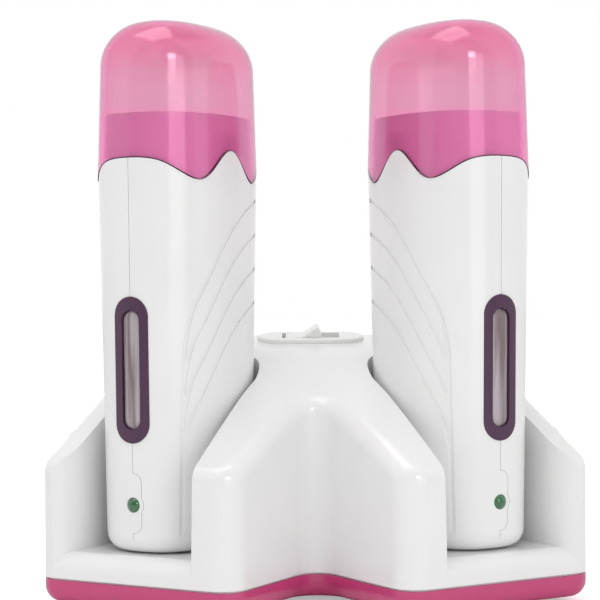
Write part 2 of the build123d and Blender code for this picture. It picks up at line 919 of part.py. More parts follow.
def base_upper_shell():
    """Moulded upper shell with two pockets for the warmers."""
    with BuildPart() as shell:
        add(base_block(0, tray_top, 0, shell_edge_round))
        for side in (-1, 1):
            add(pocket(side), mode=Mode.SUBTRACT)
            add(floor_lip(side), mode=Mode.SUBTRACT)
        add(shell_cavity(), mode=Mode.SUBTRACT)
        add(shell_bosses())
        with BuildSketch(Plane.XY.offset(boss_low)):
            with Locations(*boss_places()):
                Circle(base_screw_radius + fit_gap / 2)
        extrude(amount=base_screw_length, mode=Mode.SUBTRACT)
        # fine parting groove above the tray
        with BuildSketch(Plane.XY.offset(tray_top)):
            add(base_outline())
            add(base_outline(parting_depth), mode=Mode.SUBTRACT)
        extrude(amount=parting_width, mode=Mode.SUBTRACT)
        # openings for the two plugs, the switch and the mains inlet
        for side in (-1, 1):
            with BuildSketch(dock_plane(side, floor_height)):
                SlotOverall(plug_length + 2 * fit_gap, plug_width + 2 * fit_gap, rotation=90)
            extrude(amount=-2 * shell_wall, mode=Mode.SUBTRACT)
        with BuildSketch(switch_plane()):
            SlotOverall(panel_length + 2 * fit_gap, panel_width + 2 * fit_gap)
        extrude(amount=2 * panel_seat, mode=Mode.SUBTRACT)
        with BuildSketch(switch_plane()):
            Rectangle(switch_outside[0] + 2 * fit_gap, switch_outside[1] + 2 * fit_gap)
        extrude(amount=-3 * shell_wall, mode=Mode.SUBTRACT)
        with BuildSketch(inlet_plane()):
            SlotOverall(inlet_length + 2 * fit_gap, inlet_width + 2 * fit_gap)
        extrude(amount=-2 * shell_wall, mode=Mode.SUBTRACT)
    return shell.part


def base_lower_tray():
    """Coloured tray that closes the base from below and shows as a band round it."""
    inside = foot_height + tray_floor
    lip_inset = shell_wall + 1.5 * fit_gap
    with BuildPart() as tray:
        with BuildSketch(Plane.XY.offset(foot_height)):
            add(base_outline())
        extrude(amount=tray_top - foot_height)
        fillet(tray.faces().sort_by(Axis.Z)[0].edges(), tray_round)
        with BuildSketch(Plane.XY.offset(inside)):
            add(base_outline(shell_wall))
        extrude(amount=tray_top - inside, mode=Mode.SUBTRACT)
        # lip that locates the upper shell
        with BuildSketch(Plane.XY.offset(tray_top - tray_lip)):
            add(base_outline(shell_wall / 2))
            add(base_outline(lip_inset + tray_lip_wall), mode=Mode.SUBTRACT)
        extrude(amount=tray_lip)
        with BuildSketch(Plane.XY.offset(tray_top)):
            add(base_outline(lip_inset))
            add(base_outline(lip_inset + tray_lip_wall), mode=Mode.SUBTRACT)
        extrude(amount=tray_lip)
        # room for the bosses, then pads, screw holes and recesses for the feet
        with BuildSketch(Plane.XY.offset(boss_low)):
            with Locations(*boss_places()):
                Circle(boss_radius + seat_gap)
        extrude(amount=tray_top, mode=Mode.SUBTRACT)
        with BuildSketch(Plane.XY.offset(inside)):
            with Locations(*boss_places()):
                Circle(boss_radius + 1)
        extrude(amount=tray_pad)
        with BuildSketch(Plane.XY.offset(foot_height)):
            with Locations(*boss_places()):
                Circle(base_screw_radius + screw_clearance)
        extrude(amount=tray_floor + tray_pad, mode=Mode.SUBTRACT)
        with BuildSketch(Plane.XY.offset(foot_height)):
            with Locations(*boss_places()):
                Circle(base_screw_head + screw_clearance)
        extrude(amount=base_screw_head_thick + screw_clearance, mode=Mode.SUBTRACT)
        with BuildSketch(Plane.XY.offset(foot_height)):
            with Locations(*foot_places()):
                Circle(foot_radius + fit_gap)
        extrude(amount=foot_recess, mode=Mode.SUBTRACT)
        # cooling slots
        with BuildSketch(Plane.XY.offset(foot_height)):
            with GridLocations(vent_pitch, 1, vent_count, 1):
                with Locations((0, vent_place)):
                    SlotOverall(vent_length, vent_width, rotation=90)
        extrude(amount=tray_floor, mode=Mode.SUBTRACT)
    return tray.part


def rubber_feet():
    """Four round feet in the recesses of the tray."""
    with BuildPart() as feet:
        with BuildSketch():
            with Locations(*foot_places()):
                Circle(foot_radius)
        extrude(amount=foot_height + foot_recess)
        chamfer(feet.faces().group_by(Axis.Z)[0].edges(), foot_chamfer)
    return feet.part


def base_screws():
    """Six cross-recess screws that hold the tray to the shell."""
    head_low = foot_height + screw_clearance
    with BuildPart() as screws:
        with BuildSketch(Plane.XY.offset(head_low)):
            with Locations(*boss_places()):
                Circle(base_screw_head)
        extrude(amount=base_screw_head_thick)
        with BuildSketch(Plane.XY.offset(head_low)):
            with Locations(*boss_places()):
                Circle(base_screw_radius)
        extrude(amount=base_screw_head_thick + base_screw_length)
        with BuildSketch(Plane.XY.offset(head_low)):
            with Locations(*boss_places()):
                Rectangle(1.3 * base_screw_head, 0.25 * base_screw_head)
                Rectangle(0.25 * base_screw_head, 1.3 * base_screw_head)
        extrude(amount=1.0, mode=Mode.SUBTRACT)
    return screws.part


# Electrical parts of the base
def dock_plug(side):
    """Insulating plug that stands up through the floor of a pocket."""
    under = floor_height - shell_wall
    flange = (plug_length + 2 * plug_flange_reach, plug_width + 2 * plug_flange_reach)
    with BuildPart() as plug:
        with BuildSketch(dock_plane(side, under - plug_flange)):
            SlotOverall(plug_length, plug_width, rotation=90)
        extrude(amount=plug_flange + shell_wall + plug_rise)
        chamfer(plug.faces().sort_by(Axis.Z)[-1].edges(), plug_chamfer)
        with BuildSketch(dock_plane(side, under - plug_flange)):
            SlotOverall(*flange, rotation=90)
        extrude(amount=plug_flange)
        with BuildSketch(dock_plane(side, under - plug_flange)):
            with GridLocations(1, pin_spacing, 1, 2):
                Circle(pin_radius + fit_gap / 2)
        extrude(amount=plug_flange + shell_wall + plug_rise, mode=Mode.SUBTRACT)
    return plug.part


def dock_pins(side):
    """Two round pins that carry the mains into the warmer."""
    low = floor_height - shell_wall - plug_flange - pin_tail
    with BuildPart() as pins:
        with BuildSketch(dock_plane(side, low)):
            with GridLocations(1, pin_spacing, 1, 2):
                Circle(pin_radius)
        extrude(amount=floor_height + pin_reach - low)
        fillet(pins.faces().group_by(Axis.Z)[-1].edges(), 0.7 * pin_radius)
    return pins.part


switch_outside = (slot_length + 2 * switch_wall, slot_width + 2 * switch_wall)
pivot_rise = panel_thick - pivot_depth


def switch_panel():
    """Raised oval panel round the rocker, let into the plateau."""
    with BuildPart() as panel:
        with BuildSketch(switch_plane()):
            SlotOverall(panel_length, panel_width)
            Rectangle(slot_length, slot_width, mode=Mode.SUBTRACT)
        extrude(amount=panel_thick)
        upper_face = panel.faces().filter_by(switch_plane()).sort_by(Axis.Z)[-1]
        fillet(upper_face.outer_wire().edges(), 0.4 * panel_thick)
    return panel.part


def switch_body():
    """Box under the panel that carries the pivots of the rocker."""
    with BuildPart() as box:
        with BuildSketch(switch_plane()):
            Rectangle(*switch_outside)
        extrude(amount=-switch_depth)
        with BuildSketch(switch_plane()):
            Rectangle(slot_length, slot_width)
        extrude(amount=-(switch_depth - switch_floor), mode=Mode.SUBTRACT)
        pivot = switch_plane(pivot_rise)
        side_on = Plane(origin=pivot.origin, x_dir=pivot.x_dir, z_dir=pivot.y_dir)
        with BuildSketch(side_on):
            Circle(pivot_radius + pivot_clearance)
        extrude(amount=switch_outside[1], both=True, mode=Mode.SUBTRACT)
        with BuildSketch(switch_plane(-switch_depth)):
            with Locations(*blade_places()):
                Rectangle(blade_thick + fit_gap, blade_width + fit_gap)
        extrude(amount=switch_floor / 2, mode=Mode.SUBTRACT)
    return box.part


def blade_places():
    return [(-slot_length / 3, 0), (0, 0), (slot_length / 3, 0)]


def switch_blades():
    """Three contact blades under the switch."""
    with BuildPart() as blades:
        with BuildSketch(switch_plane(-switch_depth - blade_length)):
            with Locations(*blade_places()):
                Rectangle(blade_thick, blade_width)
        extrude(amount=blade_length + switch_floor / 2)
    return blades.part


def switch_rocker():
    """Roof-shaped rocker on two trunnions, shown with its right side pressed down."""
    half_width = slot_width / 2 - rocker_gap
    with BuildPart() as rocker:
        with BuildSketch(Plane.XZ) as profile:
            with BuildLine():
                Polyline(
                    (0, ridge_rise),
                    (ridge_half_width, wing_root),
                    (rocker_half_length, wing_tip),
                    (rocker_half_length, wing_tip - wing_thick),
                    (ridge_half_width, -pivot_radius - 1),
                    (-ridge_half_width, -pivot_radius - 1),
                    (-rocker_half_length, wing_tip - wing_thick),
                    (-rocker_half_length, wing_tip),
                    (-ridge_half_width, wing_root),
                    close=True,
                )
            make_face()
            fillet(profile.vertices().sort_by(Axis.Z)[-1], ridge_round)
        extrude(amount=half_width, both=True)
        with BuildSketch(Plane.XZ):
            Circle(pivot_radius)
        extrude(amount=slot_width / 2 + pivot_reach, both=True)
    tipped = rocker.part.rotate(Axis.Y, rocker_tilt)
    return tipped.moved(switch_plane(pivot_rise).location)


def mains_inlet():
    """Two-pin appliance inlet, let into the rear wall from inside."""
    with BuildPart() as inlet:
        with BuildSketch(inlet_plane(inlet_depth)):
            SlotOverall(inlet_length, inlet_width)
        extrude(amount=inlet_depth - fit_gap)
        with BuildSketch(inlet_plane(shell_wall + inlet_flange_thick)):
            SlotOverall(inlet_length + 2 * inlet_flange, inlet_width + 2 * inlet_flange)
        extrude(amount=inlet_flange_thick)
        with BuildSketch(inlet_plane()):
            SlotOverall(inlet_length - 2 * inlet_rim, inlet_width - 2 * inlet_rim)
        extrude(amount=-inlet_cavity_depth, mode=Mode.SUBTRACT)
        with BuildSketch(inlet_plane(inlet_depth)):
            with GridLocations(pin_spacing, 1, 2, 1):
                Circle(pin_radius + fit_gap / 2)
        extrude(amount=inlet_depth - inlet_cavity_depth, mode=Mode.SUBTRACT)
    return inlet.part


def inlet_pins():
    """Two round pins of the inlet, with their tails inside the base."""
    with BuildPart() as pins:
        with BuildSketch(inlet_plane(inlet_depth + inlet_pin_tail)):
            with GridLocations(pin_spacing, 1, 2, 1):
                Circle(pin_radius)
        extrude(amount=inlet_pin_tail + inlet_depth - inlet_cavity_depth + inlet_pin_length)
        fillet(pins.faces().group_by(Axis.Y)[-1].edges(), 0.7 * pin_radius)
    return pins.part


def write(piece, name):
    piece.label = name
    export_step(piece, f"parts/{name}.step")


# Every piece in its own file
warmer = {}
warmer["tongue_half"], warmer["plain_half"] = housing_halves()
warmer["housing_screw"] = housing_screw()
warmer["cap"] = cap()
warmer["window_frame"] = window_frame()
warmer["window_pane"] = window_pane()
warmer["indicator_lens"] = indicator_lens()
warmer["indicator_lamp"] = indicator_lamp()
warmer["indicator_board"] = indicator_board()
warmer["heating_well"] = heating_well()
warmer["heater_pads"] = heater_pads()
warmer["thermostat"] = thermostat()
warmer["socket_block"] = socket_block()
warmer["socket_sleeves"] = socket_sleeves()

for side, word in ((-1, "left"), (1, "right")):
    for name, piece in warmer.items():
        write(piece.moved(dock_plane(side).location), f"{word}_{name}")
    write(dock_plug(side), f"{word}_dock_plug")
    write(dock_pins(side), f"{word}_dock_pins")

write(base_upper_shell(), "base_upper_shell")
write(base_lower_tray(), "base_lower_tray")
write(rubber_feet(), "rubber_feet")
write(base_screws(), "base_screws")
write(switch_panel(), "switch_panel")
write(switch_body(), "switch_body")
write(switch_blades(), "switch_blades")
write(switch_rocker(), "switch_rocker")
write(mains_inlet(), "mains_inlet")
write(inlet_pins(), "inlet_pins")
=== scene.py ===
import math

import bpy
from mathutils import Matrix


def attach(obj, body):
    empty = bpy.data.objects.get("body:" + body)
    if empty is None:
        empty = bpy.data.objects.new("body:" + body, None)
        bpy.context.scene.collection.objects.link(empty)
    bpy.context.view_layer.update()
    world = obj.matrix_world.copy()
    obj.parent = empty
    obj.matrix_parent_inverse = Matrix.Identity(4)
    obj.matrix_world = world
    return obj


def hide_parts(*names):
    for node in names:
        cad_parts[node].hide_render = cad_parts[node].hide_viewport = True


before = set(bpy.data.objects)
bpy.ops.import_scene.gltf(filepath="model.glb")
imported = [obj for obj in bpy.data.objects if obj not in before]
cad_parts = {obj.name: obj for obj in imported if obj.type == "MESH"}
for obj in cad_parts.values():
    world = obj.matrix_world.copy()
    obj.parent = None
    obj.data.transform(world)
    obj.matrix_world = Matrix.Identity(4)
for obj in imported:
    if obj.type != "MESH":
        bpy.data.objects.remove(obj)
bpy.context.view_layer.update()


# Upper shell of the base and the housings of the two warmers.
# White ABS, injection moulded in a lightly textured tool: a satin gloss with a very
# fine grain, and hardly any change of colour from one place to the next.
MM = 0.001
SIDES = ("left", "right")
SHELL_WHITE = "#f2f2f1"
SHELL_SHADE = "#ececed"
SHELL_ROUGHNESS = (0.14, 0.20)
SHELL_GRAIN_STRENGTH = 0.6
ABS_IOR = 1.53
TONE_SIZE = 30 * MM
# The grain of the tool is about 0.1 mm; it is drawn at 0.5 mm so that it shows.
GRAIN_SIZE = 0.5 * MM
GRAIN_DEPTH = 0.004 * MM


def linear(colour):
    """Linear red, green, blue and alpha of an sRGB hex colour."""
    channels = []
    for start in (1, 3, 5):
        value = int(colour[start:start + 2], 16) / 255
        channels.append(value / 12.92 if value <= 0.04045 else ((value + 0.055) / 1.055) ** 2.4)
    return (*channels, 1.0)


def add_node(tree, kind, settings=None, inputs=None):
    """Add a node, set its properties, and set or link its inputs by name or number."""
    node = tree.nodes.new(kind)
    for name, value in (settings or {}).items():
        setattr(node, name, value)
    for name, value in (inputs or {}).items():
        if isinstance(value, bpy.types.NodeSocket):
            tree.links.new(value, node.inputs[name])
        else:
            node.inputs[name].default_value = value
    return node


def start_material(name):
    """New material and its node tree, with nothing in it yet."""
    material = bpy.data.materials.new(name)
    material.use_nodes = True
    tree = material.node_tree
    tree.nodes.clear()
    return material, tree


def drifting_colour(tree, place, size, first, second):
    """Colour that drifts between two tones over a distance, and the drift itself."""
    drift = add_node(tree, "ShaderNodeTexNoise", inputs={
        "Vector": place,
        "Scale": 1 / size,
        "Detail": 2.0,
    })
    colour = add_node(tree, "ShaderNodeMix", {"data_type": "RGBA"}, {
        "Factor": drift.outputs["Fac"],
        6: linear(first),
        7: linear(second),
    })
    return colour.outputs[2], drift.outputs["Fac"]


def uneven_surface(tree, place, size, depth, strength, detail=3.0):
    """Normals of a surface with small bumps of one size and depth."""
    bumps = add_node(tree, "ShaderNodeTexNoise", inputs={
        "Vector": place,
        "Scale": 1 / size,
        "Detail": detail,
    })
    relief = add_node(tree, "ShaderNodeBump", inputs={
        "Height": bumps.outputs["Fac"],
        "Distance": depth,
        "Strength": strength,
    })
    return relief.outputs["Normal"]


def cover(material, *nodes, each_side=()):
    """Give the named CAD nodes their material, and those that are there on each side."""
    for name in (*nodes, *(f"{side}_{node}" for side in SIDES for node in each_side)):
        for material_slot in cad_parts[name].material_slots:
            material_slot.material = material


white_abs, tree = start_material("white_moulded_abs")
place = add_node(tree, "ShaderNodeTexCoord").outputs["Object"]
colour, drift = drifting_colour(tree, place, TONE_SIZE, SHELL_WHITE, SHELL_SHADE)
gloss = add_node(tree, "ShaderNodeMapRange", inputs={
    "Value": drift,
    "To Min": SHELL_ROUGHNESS[0],
    "To Max": SHELL_ROUGHNESS[1],
})
shader = add_node(tree, "ShaderNodeBsdfPrincipled", inputs={
    "Base Color": colour,
    "Roughness": gloss.outputs["Result"],
    "IOR": ABS_IOR,
    "Normal": uneven_surface(tree, place, GRAIN_SIZE, GRAIN_DEPTH, SHELL_GRAIN_STRENGTH),
})
add_node(tree, "ShaderNodeOutputMaterial", inputs={"Surface": shader.outputs["BSDF"]})
cover(white_abs, "base_upper_shell", each_side=("tongue_half", "plain_half"))


# Lower tray of the base.
# The same ABS coloured pink all through, moulded and fixed from below with six screws;
# a satin gloss, a little duller than the shell's.
TRAY_PINK = "#cc487e"
TRAY_SHADE = "#c03e74"
TRAY_ROUGHNESS = 0.25

pink_abs, tree = start_material("pink_moulded_abs")
place = add_node(tree, "ShaderNodeTexCoord").outputs["Object"]
colour, _ = drifting_colour(tree, place, TONE_SIZE, TRAY_PINK, TRAY_SHADE)
shader = add_node(tree, "ShaderNodeBsdfPrincipled", inputs={
    "Base Color": colour,
    "Roughness": TRAY_ROUGHNESS,
    "IOR": ABS_IOR,
    "Normal": uneven_surface(tree, place, GRAIN_SIZE, GRAIN_DEPTH, SHELL_GRAIN_STRENGTH),
})
add_node(tree, "ShaderNodeOutputMaterial", inputs={"Surface": shader.outputs["BSDF"]})
cover(pink_abs, "base_lower_tray")


# Rubber feet.
# Moulded elastomer discs pressed into recesses of the tray; dark grey and matte.
RUBBER_GREY = "#38383a"
RUBBER_ROUGHNESS = 0.75
RUBBER_GRAIN_SIZE = 0.4 * MM
RUBBER_GRAIN_DEPTH = 0.02 * MM
RUBBER_GRAIN_STRENGTH = 0.8

foot_rubber, tree = start_material("foot_elastomer")
place = add_node(tree, "ShaderNodeTexCoord").outputs["Object"]
shader = add_node(tree, "ShaderNodeBsdfPrincipled", inputs={
    "Base Color": linear(RUBBER_GREY),
    "Roughness": RUBBER_ROUGHNESS,
    "Normal": uneven_surface(
        tree, place, RUBBER_GRAIN_SIZE, RUBBER_GRAIN_DEPTH, RUBBER_GRAIN_STRENGTH, detail=4.0),
})
add_node(tree, "ShaderNodeOutputMaterial", inputs={"Surface": shader.outputs["BSDF"]})
cover(foot_rubber, "rubber_feet")


# Push-on caps: clear polystyrene tinted pink all through, moulded and polished, 1.6 mm thick.
# The white collar shows through, the pink gets deeper where the eye looks along the wall, and a
# thin dark line of painted shade runs along the wavy lip, whose face is painted opaque and dark
# plum.
CAP_TINT = "#ff22d0"
CAP_DENSITY = 290.0
CAP_ROUGHNESS = 0.1
CAP_IOR = 1.5
# Painted light and shade: the surface is painted a shade pinker round the collar than above it,
# where the eye looks through both walls and more light comes through, and pinker again towards
# the crown.
CAP_COLLAR_SHADE = "#fceaf3"
CAP_LIT_WALL = "#f2fbee"
CAP_PAINTED_CROWN = "#f2e0de"
COLLAR_END = (171 * MM, 175 * MM)
CROWN_START = (186 * MM, 200 * MM)
# The lip is told from the walls by how low it is and how level it lies.
# Painted shade: the lip's face is painted dark plum and lets no light through, for the shade in
# the gap under it.
LIP_SHADE_PLUM = "#3c1428"
LIP_TOP = 165 * MM
LIP_LEVEL = (0.2, 0.3)
# The polished wall isn't quite even: long, very flat waves break up its highlights.
FLOW_SIZE = 14 * MM
FLOW_DEPTH = 0.02 * MM
FLOW_STRENGTH = 0.3

clear_pink, tree = start_material("clear_pink_polystyrene")
place = add_node(tree, "ShaderNodeTexCoord").outputs["Object"]
height = add_node(tree, "ShaderNodeSeparateXYZ", inputs={"Vector": place})
facing = add_node(tree, "ShaderNodeNewGeometry")
slope = add_node(tree, "ShaderNodeSeparateXYZ", inputs={"Vector": facing.outputs["True Normal"]})
upward = add_node(tree, "ShaderNodeMath", {"operation": "ABSOLUTE"}, {0: slope.outputs["Z"]})
level_face = add_node(tree, "ShaderNodeMapRange", inputs={
    "Value": upward.outputs["Value"],
    "From Min": LIP_LEVEL[0],
    "From Max": LIP_LEVEL[1],
})
low_place = add_node(tree, "ShaderNodeMath", {"operation": "LESS_THAN"}, {
    0: height.outputs["Z"],
    1: LIP_TOP,
})
# Where the lip lies, the cap gets its painted shade: dark plum and opaque.
painted_lip_shade = add_node(tree, "ShaderNodeMath", {"operation": "MULTIPLY"}, {
    0: level_face.outputs["Result"],
    1: low_place.outputs["Value"],
})
above_collar = add_node(tree, "ShaderNodeMapRange", inputs={
    "Value": height.outputs["Z"],
    "From Min": COLLAR_END[0],
    "From Max": COLLAR_END[1],
})
in_crown = add_node(tree, "ShaderNodeMapRange", inputs={
    "Value": height.outputs["Z"],
    "From Min": CROWN_START[0],
    "From Max": CROWN_START[1],
})
# Painted light and shade by height: paler above the collar, pinker round it and towards the
# crown.
upper_painted_tint = add_node(tree, "ShaderNodeMix", {"data_type": "RGBA"}, {
    "Factor": in_crown.outputs["Result"],
    6: linear(CAP_LIT_WALL),
    7: linear(CAP_PAINTED_CROWN),
})
painted_wall_tint = add_node(tree, "ShaderNodeMix", {"data_type": "RGBA"}, {
    "Factor": above_collar.outputs["Result"],
    6: linear(CAP_COLLAR_SHADE),
    7: upper_painted_tint.outputs[2],
})
colour = add_node(tree, "ShaderNodeMix", {"data_type": "RGBA"}, {
    "Factor": painted_lip_shade.outputs["Value"],
    6: painted_wall_tint.outputs[2],
    7: linear(LIP_SHADE_PLUM),
})
clear = add_node(tree, "ShaderNodeMapRange", inputs={
    "Value": painted_lip_shade.outputs["Value"],
    "To Min": 1.0,
    "To Max": 0.0,
})
shader = add_node(tree, "ShaderNodeBsdfPrincipled", inputs={
    "Base Color": colour.outputs[2],
    "Roughness": CAP_ROUGHNESS,
    "IOR": CAP_IOR,
    "Transmission Weight": clear.outputs["Result"],
    "Normal": uneven_surface(tree, place, FLOW_SIZE, FLOW_DEPTH, FLOW_STRENGTH, detail=1.0),
})
tint = add_node(tree, "ShaderNodeVolumeAbsorption", inputs={
    "Color": linear(CAP_TINT),
    "Density": CAP_DENSITY,
})
add_node(tree, "ShaderNodeOutputMaterial", inputs={
    "Surface": shader.outputs["BSDF"],
    "Volume": tint.outputs["Volume"],
})
cover(clear_pink, each_side=("cap",))


# Window of each warmer: a plum ABS bezel with a satin gloss, let into the narrow front face, and
# a pane of clear acrylic with a mauve tint, through which the heating well is seen. Painted
# reflections: faint upright streaks, darker and lighter, are painted on the pane.
BEZEL_PLUM = "#4a2846"
BEZEL_ROUGHNESS = 0.28
BEZEL_GRAIN_STRENGTH = 0.5
PANE_MAUVE = "#fdf4fa"
PANE_ROUGHNESS = 0.05
PANE_CLEARNESS = 0.62
PANE_WAVE_SIZE = 6 * MM
PANE_WAVE_DEPTH = 0.01 * MM
PANE_WAVE_STRENGTH = 0.3
ACRYLIC_IOR = 1.49
# Painted reflections: the darker colour of the pane's upright streaks.
PANE_STREAK_SHADE = "#b29c9e"
STREAK_WIDTH = 3 * MM
STREAK_SQUEEZE = 0.06
STREAK_EDGES = (0.38, 0.62)

plum_abs, tree = start_material("plum_moulded_abs")
place = add_node(tree, "ShaderNodeTexCoord").outputs["Object"]
shader = add_node(tree, "ShaderNodeBsdfPrincipled", inputs={
    "Base Color": linear(BEZEL_PLUM),
    "Roughness": BEZEL_ROUGHNESS,
    "IOR": ABS_IOR,
    "Normal": uneven_surface(tree, place, GRAIN_SIZE, GRAIN_DEPTH, BEZEL_GRAIN_STRENGTH),
})
add_node(tree, "ShaderNodeOutputMaterial", inputs={"Surface": shader.outputs["BSDF"]})
cover(plum_abs, each_side=("window_frame",))

mauve_acrylic, tree = start_material("mauve_acrylic")
place = add_node(tree, "ShaderNodeTexCoord").outputs["Object"]
upright = add_node(tree, "ShaderNodeMapping", inputs={
    "Vector": place,
    "Scale": (1.0, 1.0, STREAK_SQUEEZE),
})
streak = add_node(tree, "ShaderNodeTexNoise", inputs={
    "Vector": upright.outputs["Vector"],
    "Scale": 1 / STREAK_WIDTH,
    "Detail": 2.0,
})
streak_light = add_node(tree, "ShaderNodeMapRange", inputs={
    "Value": streak.outputs["Fac"],
    "From Min": STREAK_EDGES[0],
    "From Max": STREAK_EDGES[1],
})
# Painted reflections: the pane's colour runs in upright streaks between darker and lighter mauve.
painted_streaks = add_node(tree, "ShaderNodeMix", {"data_type": "RGBA"}, {
    "Factor": streak_light.outputs["Result"],
    6: linear(PANE_STREAK_SHADE),
    7: linear(PANE_MAUVE),
})
shader = add_node(tree, "ShaderNodeBsdfPrincipled", inputs={
    "Base Color": painted_streaks.outputs[2],
    "Roughness": PANE_ROUGHNESS,
    "IOR": ACRYLIC_IOR,
    "Transmission Weight": PANE_CLEARNESS,
    "Normal": uneven_surface(
        tree, place, PANE_WAVE_SIZE, PANE_WAVE_DEPTH, PANE_WAVE_STRENGTH, detail=1.0),
})
add_node(tree, "ShaderNodeOutputMaterial", inputs={"Surface": shader.outputs["BSDF"]})
cover(mauve_acrylic, each_side=("window_pane",))

# The pane is moulded with a rounded front, flat behind, and sits in the bezel from inside.
# It is modelled about the axis of a warmer that faces straight forwards.
PANE_HALF_WIDTH = 3.5 * MM
PANE_HALF_HEIGHT = 20.5 * MM
PANE_BULGE = 1.1 * MM
PANE_BACK = 1.0 * MM
PANE_CENTRE_HEIGHT = 83.8 * MM
PANE_REACH = 30.0 * MM
FRONT_SLOPE = math.radians(0.9)
WARMER_PLACE = {"left": (-48.3 * MM, -6.7 * MM), "right": (48.3 * MM, -6.7 * MM)}
WARMER_TURN = {"left": math.radians(-30), "right": math.radians(30)}
CUT_TOLERANCE = 0.001 * MM
SMOOTH_BELOW = math.radians(40)


def settle(piece):
    """Select this piece alone and put its place, turn and size into its mesh."""
    bpy.ops.object.select_all(action="DESELECT")
    piece.select_set(True)
    bpy.context.view_layer.objects.active = piece
    bpy.ops.object.transform_apply(location=True, rotation=True, scale=True)


def stand_in_warmer(piece, side, name):
    """Copy a piece modelled about the warmer's axis to the warmer of one side."""
    own = piece.copy()
    own.data = piece.data.copy()
    own.name = f"{side}_{name}"
    bpy.context.scene.collection.objects.link(own)
    own.location = (*WARMER_PLACE[side], 0.0)
    own.rotation_euler = (0.0, 0.0, WARMER_TURN[side])
    settle(own)
    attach(own, f"{side}_warmer")
    return own


def choose_end(mesh, sign):
    """Select the points of a mesh that lie above its middle, or below it for -1."""
    for part in (mesh.polygons, mesh.edges):
        for item in part:
            item.select = False
    for point in mesh.vertices:
        point.select = point.co.z * sign > 0


bpy.ops.object.select_all(action="DESELECT")
bpy.ops.mesh.primitive_uv_sphere_add(segments=64, ring_count=33, radius=PANE_HALF_WIDTH)
pane = bpy.context.object
pane.scale = (1.0, PANE_BULGE / PANE_HALF_WIDTH, 1.0)
settle(pane)
for sign in (1, -1):
    choose_end(pane.data, sign)
    bpy.ops.object.mode_set(mode="EDIT")
    bpy.ops.transform.translate(value=(0.0, 0.0, sign * (PANE_HALF_HEIGHT - PANE_HALF_WIDTH)))
    bpy.ops.object.mode_set(mode="OBJECT")
bpy.ops.object.mode_set(mode="EDIT")
bpy.ops.mesh.select_all(action="SELECT")
bpy.ops.mesh.bisect(
    plane_co=(0.0, 0.0, 0.0), plane_no=(0.0, 1.0, 0.0), clear_outer=True, threshold=CUT_TOLERANCE)
bpy.ops.mesh.extrude_region_move(TRANSFORM_OT_translate={"value": (0.0, PANE_BACK, 0.0)})
bpy.ops.mesh.edge_face_add()
bpy.ops.mesh.select_all(action="SELECT")
bpy.ops.mesh.normals_make_consistent(inside=False)
bpy.ops.object.mode_set(mode="OBJECT")
bpy.ops.object.shade_smooth_by_angle(angle=SMOOTH_BELOW)
pane.rotation_euler = (FRONT_SLOPE, 0.0, 0.0)
pane.location = (0.0, -PANE_REACH, PANE_CENTRE_HEIGHT)
settle(pane)
pane.data.materials.append(mauve_acrylic)
for side in SIDES:
    own = stand_in_warmer(pane, side, "rounded_pane")
    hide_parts(f"{side}_window_pane")
bpy.data.objects.remove(pane)


# Indicator below each window.
# A domed light guide of green acrylic, moulded and polished so that it glints, with a collar
# behind the wall, and a small lamp of pale, cloudy resin on a board behind it.
LENS_GREEN = "#329450"
LENS_ROUGHNESS = 0.1
LENS_CLEARNESS = 0.6
LENS_POLISH = 0.06
LENS_POLISH_IOR = 1.6
LENS_RADIUS = 2.45 * MM
LENS_DOME = 1.6 * MM
LENS_SHANK = 1.8 * MM
LENS_COLLAR = 3.6 * MM
COLLAR_THICK = 1.0 * MM
LENS_REACH = 29.9 * MM
LENS_CENTRE_HEIGHT = 37.2 * MM
LAMP_RESIN = "#cfe8cf"
LAMP_ROUGHNESS = 0.2
LAMP_CLEARNESS = 0.4

green_acrylic, tree = start_material("green_acrylic")
shader = add_node(tree, "ShaderNodeBsdfPrincipled", inputs={
    "Base Color": linear(LENS_GREEN),
    "Roughness": LENS_ROUGHNESS,
    "Coat Weight": 1.0,
    "Coat Roughness": LENS_POLISH,
    "Coat IOR": LENS_POLISH_IOR,
    "IOR": ACRYLIC_IOR,
    "Transmission Weight": LENS_CLEARNESS,
})
add_node(tree, "ShaderNodeOutputMaterial", inputs={"Surface": shader.outputs["BSDF"]})
cover(green_acrylic, each_side=("indicator_lens",))

lamp_resin, tree = start_material("lamp_epoxy")
shader = add_node(tree, "ShaderNodeBsdfPrincipled", inputs={
    "Base Color": linear(LAMP_RESIN),
    "Roughness": LAMP_ROUGHNESS,
    "Transmission Weight": LAMP_CLEARNESS,
})
add_node(tree, "ShaderNodeOutputMaterial", inputs={"Surface": shader.outputs["BSDF"]})
cover(lamp_resin, each_side=("indicator_lamp",))

bpy.ops.object.select_all(action="DESELECT")
bpy.ops.mesh.primitive_uv_sphere_add(segments=48, ring_count=24, radius=LENS_RADIUS)
lens = bpy.context.object
lens.scale = (1.0, 1.0, LENS_DOME / LENS_RADIUS)
settle(lens)
bpy.ops.object.mode_set(mode="EDIT")
bpy.ops.mesh.select_all(action="SELECT")
bpy.ops.mesh.bisect(
    plane_co=(0.0, 0.0, 0.0), plane_no=(0.0, 0.0, 1.0), clear_inner=True, threshold=CUT_TOLERANCE)
bpy.ops.mesh.extrude_region_move(TRANSFORM_OT_translate={"value": (0.0, 0.0, -LENS_SHANK)})
bpy.ops.mesh.extrude_region_move()
bpy.ops.transform.resize(value=(LENS_COLLAR / LENS_RADIUS, LENS_COLLAR / LENS_RADIUS, 1.0))
bpy.ops.mesh.extrude_region_move(TRANSFORM_OT_translate={"value": (0.0, 0.0, -COLLAR_THICK)})
bpy.ops.mesh.edge_face_add()
bpy.ops.mesh.select_all(action="SELECT")
bpy.ops.mesh.remove_doubles(threshold=CUT_TOLERANCE)
bpy.ops.mesh.normals_make_consistent(inside=False)
